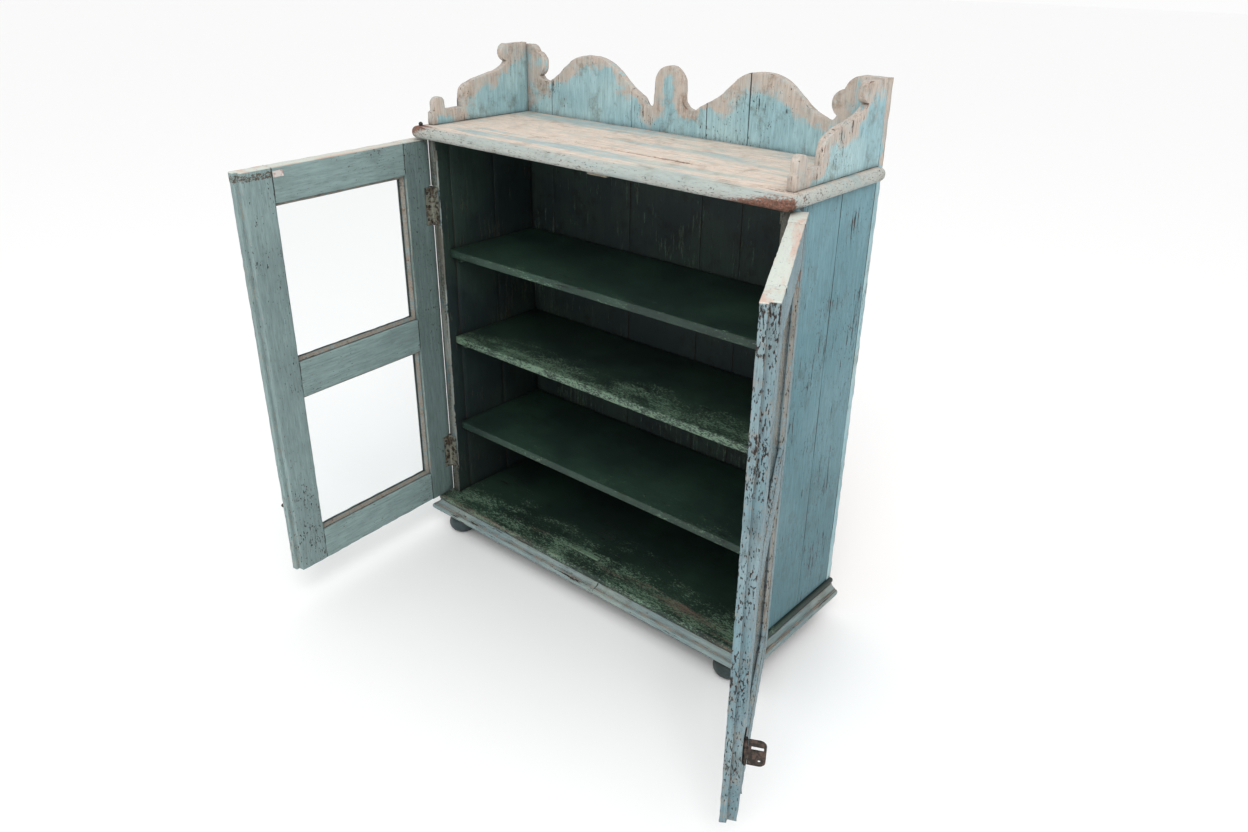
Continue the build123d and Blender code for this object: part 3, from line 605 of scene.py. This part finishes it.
# Cream paint, chipped, on the small stop under the top: a pale bar against the dark inside.
stop_paint = painted_pine(
    "worn_cream_paint_on_pine_stop", "#a8a294", "#98917f", grain="X", rub=0.5, flecks=0.3, fleck_mm=3,
    under="#b3a898", seed=12.6, arris_mm=1.0,
)
print("eight more paints")

# %% [markdown]
# ### Door paints
# The doors are greyer than the sides, and the right one is the more weathered of the two. The pattern is
# turned with each door, so that the brush strokes follow the stiles, and rails get their own
# material with the grain across.

# %% Door paints
DOOR_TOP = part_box("left_top_rail")[1].z


def dusty_top_edge(tree, place, straight, colour, slow, grit):
    """The upper edge of a door, where the paint is rubbed to cream and pink."""
    height = beside_axis(tree, place, "Z")
    upper = patch(tree, height, DOOR_TOP - 3.2 * MM, 1.6 * MM)
    upper = add_node(tree, "Math", {"operation": "MULTIPLY"}, {0: upper, 1: patch(tree, grit, 0.34, 0.06)})
    cream = add_node(
        tree, "Mix", MIX_COLOUR,
        {0: patch(tree, slow, 0.46, 0.16), 6: linear("#c6ccc3"), 7: linear("#c9b0a2")}, 2,
    )
    return add_node(tree, "Mix", MIX_COLOUR, {0: upper, 6: colour, 7: cream}, 2)


def stile_end_wear(tree, place, straight, colour, slow, grit):
    """The left meeting stile: a brown patch worn at its upper end, with two old nail holes."""
    colour = dusty_top_edge(tree, place, straight, colour, slow, grit)
    height = beside_axis(tree, place, "Z")
    level = band(tree, height, DOOR_TOP - 20 * MM, DOOR_TOP - 9 * MM, 5 * MM)
    level = add_node(tree, "Math", {"operation": "MULTIPLY_ADD"}, {0: level, 1: 0.28, 2: grit})
    brown = patch(tree, level, 0.74, 0.06)
    return add_node(tree, "Mix", MIX_COLOUR, {0: brown, 6: colour, 7: linear("#544a41")}, 2)


LEFT_DOOR = dict(
    turn=-LEFT_SWING, rub=0.0, flecks=0.45, fleck_mm=3.5, arris_mm=1.1, under="#9c9e95", specks=0.98,
    stain=0.10,
    over=dusty_top_edge,
)
RIGHT_DOOR = dict(
    turn=-RIGHT_SWING, rub=0.16, flecks=0.42, fleck_mm=3, arris_mm=1.2, under="#8a857c", specks=1.45,
    over=dusty_top_edge,
)
# The left door: smooth grey-green paint with a few specks, darker at the hinge stile as painted shade, grain
# along each piece.
left_hinge_stile_paint_with_shade = painted_pine("oil_paint_on_pine_left_stiles", "#6f8280", "#667976", seed=3.3, **LEFT_DOOR)
left_meeting_paint = painted_pine(
    "oil_paint_on_pine_left_meeting_stile", "#869b9a", "#7d9190", seed=3.6,
    **{**LEFT_DOOR, "over": stile_end_wear},
)
left_rail_paint = painted_pine(
    "oil_paint_on_pine_left_rails", "#8ba19f", "#839896", grain="X", seed=3.9, **LEFT_DOOR
)
# The right door: bluer, with dense fine flecks down to dark wood, and grain as on the left one.
right_stile_paint = painted_pine(
    "oil_paint_on_pine_right_stiles", "#6c878f", "#7d9297", seed=9.2, **RIGHT_DOOR
)
right_rail_paint = painted_pine(
    "oil_paint_on_pine_right_rails", "#6c878f", "#7d9297", grain="X", seed=9.9, **RIGHT_DOOR
)
# Glazing beads that have lost half their paint: grey-brown wood in a thin line around each pane.
worn_bead_paint = painted_pine(
    "worn_oil_paint_on_pine_beads", "#7b8b8b", "#85918e", grain="X", rub=0.75, flecks=0.6, fleck_mm=4,
    under="#8d8378", wood="#5c5048", seed=11.3, arris_mm=1.5,
)
print("door paints:", left_hinge_stile_paint_with_shade.name, right_stile_paint.name, worn_bead_paint.name)

# %% [markdown]
# ### Iron, steel and glass
# The hinges, the hasp and the staple are wrought iron, brown with rust over a dark skin, and the hinges
# were painted over as well. Screws, pins and the nail are plain dark steel. The panes are drawn window glass,
# so most of the light goes straight through and only the glancing light is reflected. How much is reflected
# is worked out from the angle alone, because a Fresnel node inside a thin slab would trap the light.

# %% Iron, steel and glass


def old_iron(name, skin, rust, amount, paint):
    """Hand-forged iron: dark scale with rust blooms, small pits and what is left of paint."""
    material, tree, shader = new_material(name)
    place = add_node(tree, "TexCoord", out="Object")
    bloom = add_node(
        tree, "TexNoise", None, {"Vector": place, "Scale": per_metre(9), "Detail": 7.0, "Roughness": 0.7}
    )
    pits = add_node(tree, "TexNoise", None, {"Vector": place, "Scale": per_metre(1.6), "Detail": 4.0})
    rusty = patch(tree, bloom, 0.62 - 0.3 * amount, 0.16)
    colour = add_node(tree, "Mix", MIX_COLOUR, {0: rusty, 6: linear(skin), 7: linear(rust)}, 2)
    daub = add_node(
        tree, "TexNoise", None, {"Vector": place, "Scale": per_metre(14), "Detail": 8.0, "Roughness": 0.7}
    )
    painted = patch(tree, daub, 0.74 - 0.26 * paint, 0.05)
    colour = add_node(tree, "Mix", MIX_COLOUR, {0: painted, 6: colour, 7: linear("#75776b")}, 2)
    rusty = add_node(tree, "Math", {"operation": "MAXIMUM"}, {0: rusty, 1: painted})
    tree.links.new(colour, shader.inputs["Base Color"])
    metal = add_node(tree, "MapRange", None, {"Value": rusty, "To Min": 0.85, "To Max": 0.05})
    tree.links.new(metal, shader.inputs["Metallic"])
    matt = add_node(tree, "MapRange", None, {"Value": rusty, "To Min": 0.42, "To Max": 0.85})
    tree.links.new(matt, shader.inputs["Roughness"])
    height = add_node(tree, "Math", {"operation": "ADD"}, {0: pits, 1: bloom})
    bump = add_node(tree, "Bump", None, {"Height": height, "Strength": 0.8, "Distance": 0.4 * MM}, "Normal")
    tree.links.new(bump, shader.inputs["Normal"])
    return material


# Wrought iron of the hasp and the staple: dark scale, brown bloom, hardly any paint.
rusty_iron = old_iron("rusty_wrought_iron", "#35302c", "#54433a", 0.55, 0.25)
# Drawn steel of screws, pins and the nail: darker and more metallic.
dark_steel = old_iron("dark_oxidised_steel", "#3b3a38", "#4a3a30", 0.25, 0.0)
# Wrought iron of the hinge leaves, painted over with the doors: matt grey-green daubs over rust.
painted_iron = old_iron("painted_wrought_iron", "#46423b", "#5d5144", 0.6, 1.05)

# Drawn sheet glass: clear face on, and a mirror only at a glancing angle.
window_glass, glass_tree, glass_shader = new_material("drawn_window_glass")
clear = add_node(glass_tree, "BsdfTransparent", None, {"Color": linear("#fdfefe")})
sheen = add_node(glass_tree, "BsdfGlossy", None, {"Color": (1, 1, 1, 1), "Roughness": 0.03})
SCHLICK_POWER = 5.0
facing = add_node(glass_tree, "LayerWeight", None, {"Blend": 0.5}, "Facing")
glancing = add_node(glass_tree, "Math", {"operation": "POWER"}, {0: facing, 1: SCHLICK_POWER})
glancing = add_node(glass_tree, "MapRange", None, {"Value": glancing, "To Min": 0.015, "To Max": 0.45})
pane = add_node(glass_tree, "MixShader", None, {0: glancing, 1: clear, 2: sheen})
glass_tree.links.new(pane, glass_tree.nodes["Material Output"].inputs["Surface"])
glass_tree.nodes.remove(glass_shader)
print("iron, steel and glass ready")

# %% [markdown]
# ## Boards with worn arrises
# On the real cabinet no edge is sharp: a hundred years of hands and cloths have rounded every arris, and
# the faces still carry the slight waves of a hand plane. A board could be modelled again from a cube, but
# its outline is already right in the CAD model, so a copy of that mesh is merged, its flat faces are
# joined, its arrises are bevelled, and it is sliced into small cells. A displacement that goes inwards
# then waves the faces, and a second, stronger one dents the arrises. An arris that lies against another
# piece is in a joint and doesn't wear. Each point's distance from the nearest free arris, and from the
# nearest joint, is stored as two attributes that the paint reads.

# %% Worn boards


def only(piece):
    """Deselects everything, then selects one object and makes it active."""
    bpy.ops.object.select_all(action="DESELECT")
    piece.select_set(True)
    bpy.context.view_layer.objects.active = piece


def merged_copy(node, name):
    """A copy of a CAD node's mesh in a new object, with its doubles merged and its flat faces joined."""
    piece = bpy.data.objects.new(name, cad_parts[node].data.copy())
    bpy.context.scene.collection.objects.link(piece)
    piece.data.materials.clear()
    only(piece)
    bpy.ops.object.mode_set(mode="EDIT")
    bpy.ops.mesh.select_all(action="SELECT")
    bpy.ops.mesh.remove_doubles(threshold=0.01 * MM)
    bpy.ops.mesh.dissolve_limited(angle_limit=math.radians(1))
    bpy.ops.object.mode_set(mode="OBJECT")
    return piece


def solid_tree(node):
    """A CAD node's faces in a tree that finds the nearest point on them."""
    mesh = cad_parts[node].data
    return BVHTree.FromPolygons([v.co for v in mesh.vertices], [p.vertices for p in mesh.polygons])


SOLIDS = {node: (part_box(node), solid_tree(node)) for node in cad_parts}
TOUCH = 0.3 * MM
SHARP = math.radians(35)
WEAR_REACH = 4 * MM


def meets_another(point, node):
    """True if a point of one node's arris lies against another node."""
    for other, ((low, high), tree) in SOLIDS.items():
        if other == node or any(point[i] < low[i] - TOUCH or point[i] > high[i] + TOUCH for i in range(3)):
            continue
        if tree.find_nearest(point)[3] < TOUCH:
            return True
    return False


def nearest_finder(points):
    """A tree that finds the nearest of some points."""
    tree = kdtree.KDTree(len(points))
    for i, point in enumerate(points):
        tree.insert(point, i)
    tree.balance()
    return tree


def arris_points(mesh, node, spacing):
    """Points along every sharp edge of a mesh: the free arrises first, then those in a joint."""
    normals_at = {}
    for face in mesh.polygons:
        for key in face.edge_keys:
            normals_at.setdefault(key, []).append(face.normal)
    free, joint = [], []
    for key, normals in normals_at.items():
        if len(normals) != 2 or normals[0].dot(normals[1]) > math.cos(SHARP):
            continue
        start, end = (mesh.vertices[i].co for i in key)
        count = max(1, round((end - start).length / spacing))
        for i in range(count + 1):
            point = start.lerp(end, i / count)
            (joint if meets_another(point, node) else free).append(point)
    return nearest_finder(free), nearest_finder(joint)


def how_far(finder, point):
    """The distance to the nearest point that a finder holds, or a metre if it is empty."""
    near = finder.find(point)[2]
    return 1.0 if near is None else near


def slice_into_cells(piece, cell, turn):
    """Cuts a mesh into cells by planes across its own three axes, turned with its door."""
    frame_turn = Matrix.Rotation(turn, 3, "Z")
    back_turn = frame_turn.inverted()
    local = [back_turn @ v.co for v in piece.data.vertices]
    bpy.ops.object.mode_set(mode="EDIT")
    for axis in range(3):
        low = min(v[axis] for v in local)
        high = max(v[axis] for v in local)
        count = int((high - low) / cell)
        for i in range(1, count):
            point = Vector((0, 0, 0))
            point[axis] = low + (high - low) * i / count
            normal = Vector((0, 0, 0))
            normal[axis] = 1.0
            bpy.ops.mesh.select_all(action="SELECT")
            bpy.ops.mesh.bisect(plane_co=frame_turn @ point, plane_no=frame_turn @ normal)
    bpy.ops.object.mode_set(mode="OBJECT")


def press_in(piece, texture, depth, group=""):
    """Moves a mesh inwards by up to a depth that follows a texture."""
    only(piece)
    dent = piece.modifiers.new("dent", "DISPLACE")
    dent.texture = texture
    dent.texture_coords = "LOCAL"
    dent.mid_level = 1.0
    dent.strength = depth
    dent.vertex_group = group
    bpy.ops.object.modifier_apply(modifier=dent.name)


plane_waves = bpy.data.textures.new("plane_waves", "CLOUDS")
plane_waves.noise_scale = 0.07
edge_dents = bpy.data.textures.new("edge_dents", "CLOUDS")
edge_dents.noise_scale = 0.018
edge_dents.noise_depth = 3
edge_dents.contrast = 2.6
edge_dents.intensity = 1.25


def worn_board(node, body, slot, material, cell=0.014, round_mm=1.3, wave_mm=0.5, dent_mm=1.6):
    """The visible board that stands for a CAD node."""
    # A post and a hinge stile close on each other almost without a gap, so they keep crisp arrises.
    if node.startswith("post_") or node.endswith("hinge_stile"):
        round_mm, wave_mm, dent_mm = 0.25, 0.0, 0.2
    piece = merged_copy(node, "worn_" + node)
    free, joint = arris_points(piece.data, node, 2 * MM)
    bpy.ops.object.mode_set(mode="EDIT")
    bpy.ops.mesh.select_mode(type="EDGE")
    bpy.ops.mesh.select_all(action="DESELECT")
    bpy.ops.mesh.edges_select_sharp(sharpness=SHARP)
    bpy.ops.mesh.bevel(offset=round_mm * MM, segments=2, clamp_overlap=False)
    bpy.ops.object.mode_set(mode="OBJECT")
    slice_into_cells(piece, cell, turning(node))
    group = piece.vertex_groups.new(name="near_arris")
    for vertex in piece.data.vertices:
        group.add([vertex.index], max(0.0, 1 - how_far(free, vertex.co) / WEAR_REACH), "REPLACE")
    if wave_mm:
        press_in(piece, plane_waves, wave_mm * MM)
    if dent_mm:
        press_in(piece, edge_dents, dent_mm * MM, "near_arris")
    for name, finder in (("arris", free), ("joint", joint)):
        piece.data.attributes.new(name, "FLOAT", "POINT")
        distances = [how_far(finder, vertex.co) for vertex in piece.data.vertices]
        piece.data.attributes[name].data.foreach_set("value", distances)
    piece.vertex_groups.clear()
    only(piece)
    bpy.ops.object.mode_set(mode="EDIT")
    bpy.ops.mesh.select_all(action="SELECT")
    bpy.ops.mesh.normals_make_consistent(inside=False)
    bpy.ops.object.mode_set(mode="OBJECT")
    bpy.ops.object.shade_smooth_by_angle(angle=math.radians(32))
    piece.data.materials.append(material)
    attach(piece, body)
    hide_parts(node)
    return piece


# %% [markdown]
# ### The fixed carcass
# Posts, sides, back, shelves, top, plinth and feet. The gallery boards get the finest cells, because
# their curves and wide worn border need them.

# %% Carcass boards
CARCASS = {
    carcass: ("post_left", "post_right", "side_left_front_board", "side_left_rear_board",
              "side_right_front_board", "side_right_rear_board"),
    shelf_paint: ("shelf_lower", "shelf_upper", "shelf_cleats"),
    stop_paint: ("door_stop_upper",),
    rubbed_shelf_paint: ("shelf_middle", "door_stop_lower"),
    floor_paint_green: ("bottom_board",),
    top_paint: ("top_board",),
    plinth_paint: ("plinth_front_left", "plinth_front_right"),
    plinth_side_paint: ("plinth_side_left", "plinth_side_right"),
    foot_paint: ("foot_front_left", "foot_front_right", "foot_rear_left", "foot_rear_right"),
    bare_pine: ("foot_blocks", "plinth_rear_rail"),
}
SLOTS = {
    carcass: "carcass_paint", gallery: "carcass_paint", shelf_paint: "shelf_paint", top_paint: "top_paint",
    rubbed_shelf_paint: "shelf_paint", floor_paint_green: "shelf_paint", stop_paint: "shelf_paint",
    plinth_paint: "plinth_paint", plinth_side_paint: "plinth_paint", foot_paint: "foot_paint",
    bare_pine: "bare_wood",
}
pieces = []
for finish, nodes in CARCASS.items():
    for node in nodes:
        if node.startswith("foot_") and node != "foot_blocks":
            turned = dict(cell=0.03, round_mm=0.4, wave_mm=0.3, dent_mm=0.0)
            pieces.append(worn_board(node, "cabinet", SLOTS[finish], finish, **turned))
        else:
            pieces.append(worn_board(node, "cabinet", SLOTS[finish], finish))
for number in range(1, 6):
    pieces.append(worn_board(f"back_board_{number}", "cabinet", "carcass_paint", gallery, cell=0.010))
for hand in ("left", "right"):
    pieces.append(worn_board(f"gallery_bracket_{hand}", "cabinet", "gallery_paint", gallery, cell=0.009))
print(len(pieces), "boards,", sum(len(p.data.polygons) for p in pieces), "faces")

# %% [markdown]
# ### The doors
# Each door is two stiles and three rails with glazing beads. Grain runs up the stiles and across the
# rails, so they take different materials, and they ride on the door.

# %% Door boards
DOOR_PAINTS = {
    "left": (left_hinge_stile_paint_with_shade, left_meeting_paint, left_rail_paint),
    "right": (right_stile_paint, right_stile_paint, right_rail_paint),
}
for hand, (stile_paint, meeting_paint, rail_paint) in DOOR_PAINTS.items():
    body, slot = f"{hand}_door", f"{hand}_door_paint"
    pieces.append(worn_board(f"{hand}_hinge_stile", body, slot, stile_paint))
    pieces.append(worn_board(f"{hand}_meeting_stile", body, slot, meeting_paint))
    for part in ("top_rail", "middle_rail", "bottom_rail"):
        pieces.append(worn_board(f"{hand}_{part}", body, slot, rail_paint))
    thin = dict(cell=0.03, round_mm=0.8, wave_mm=0.2, dent_mm=0.6)
    pieces.append(worn_board(f"{hand}_glazing_beads", body, slot, worn_bead_paint, **thin))
print("doors done:", len(pieces), "boards in all")

# %% [markdown]
# ### A paper label
# A small blank paper label is stuck on the left door's top rail, beside the joint with the meeting stile.
# It is a thin sheet whose corner has lifted. It could be a texture, but a real sheet catches the light at
# its edge. It is modelled as a grid, bent by moving its corner, and given a thickness.

# %% Paper label
# Thin yellowed paper, quite matt, with a pinkish water stain and the fine grain of its fibres.
label_paper, label_tree, label_shader = new_material("yellowed_label_paper")
label_place = add_node(label_tree, "TexCoord", out="Object")
fibre = add_node(
    label_tree, "TexNoise", None, {"Vector": label_place, "Scale": per_metre(1.5), "Detail": 5.0}
)
stain = add_node(label_tree, "TexNoise", None, {"Vector": label_place, "Scale": per_metre(7), "Detail": 4.0})
tint = add_node(
    label_tree, "Mix", MIX_COLOUR,
    {0: patch(label_tree, stain, 0.5, 0.12), 6: linear("#cfc6c0"), 7: linear("#b59a94")}, 2,
)
label_tree.links.new(tint, label_shader.inputs["Base Color"])
label_shader.inputs["Roughness"].default_value = 0.85
paper_bump = add_node(
    label_tree, "Bump", None, {"Height": fibre, "Strength": 0.5, "Distance": 0.2 * MM}, "Normal"
)
label_tree.links.new(paper_bump, label_shader.inputs["Normal"])

LABEL_W, LABEL_H, LABEL_THICK = 24 * MM, 13 * MM, 0.25 * MM
LABEL_X, LABEL_UP = -85 * MM, 15 * MM
DOOR_FACE = -1 * MM
CORNER_REACH, CORNER_LIFT = 9 * MM, 2.2 * MM
hinge_pin_low, hinge_pin_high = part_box("left_hinge_pins")
PIN = Vector(((hinge_pin_low.x + hinge_pin_high.x) / 2, (hinge_pin_low.y + hinge_pin_high.y) / 2, 0))
bpy.ops.object.select_all(action="DESELECT")
bpy.ops.mesh.primitive_grid_add(
    x_subdivisions=8, y_subdivisions=5, size=1.0,
    location=(LABEL_X, DOOR_FACE + 0.15 * MM, DOOR_TOP - LABEL_UP),
    rotation=(math.radians(90), math.radians(-2), math.radians(180)),
)
label = bpy.context.object
label.name = "paper_label"
label.scale = (LABEL_W, LABEL_H, 1)
bpy.ops.object.transform_apply(location=True, rotation=True, scale=True)
corner = Vector((LABEL_X - LABEL_W / 2, DOOR_FACE, DOOR_TOP - LABEL_UP - LABEL_H / 2))
for vertex in label.data.vertices:
    lift = max(0.0, 1 - (vertex.co - corner).length / CORNER_REACH)
    vertex.co.y += CORNER_LIFT * lift * lift
thick = label.modifiers.new("thickness", "SOLIDIFY")
thick.thickness = LABEL_THICK
thick.offset = 0
bpy.ops.object.modifier_apply(modifier=thick.name)
swing = Matrix.Translation(PIN) @ Matrix.Rotation(LEFT_SWING, 4, "Z") @ Matrix.Translation(-PIN)
label.data.transform(swing)
label.data.materials.append(label_paper)
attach(label, "left_door")
print("label faces:", len(label.data.polygons))

# %% [markdown]
# ### Ironmongery and panes
# These CAD shapes are right as they are, so they keep their meshes and take a finish.

# %% Finishes on CAD nodes
FINISHES = {
    painted_iron: ("left_post_hinge_leaves", "right_post_hinge_leaves", "left_hinge_leaves",
                   "right_hinge_leaves"),
    rusty_iron: ("right_hasp_base", "hasp_strap", "left_staple"),
    dark_steel: ("left_hinge_pins", "right_hinge_pins", "post_hinge_screws", "left_door_screws",
                 "right_door_screws", "right_hasp_pin", "corner_nail"),
    window_glass: ("left_glass_panes", "right_glass_panes"),
}
for finish, nodes in FINISHES.items():
    for node in nodes:
        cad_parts[node].data.materials.clear()
        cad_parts[node].data.materials.append(finish)
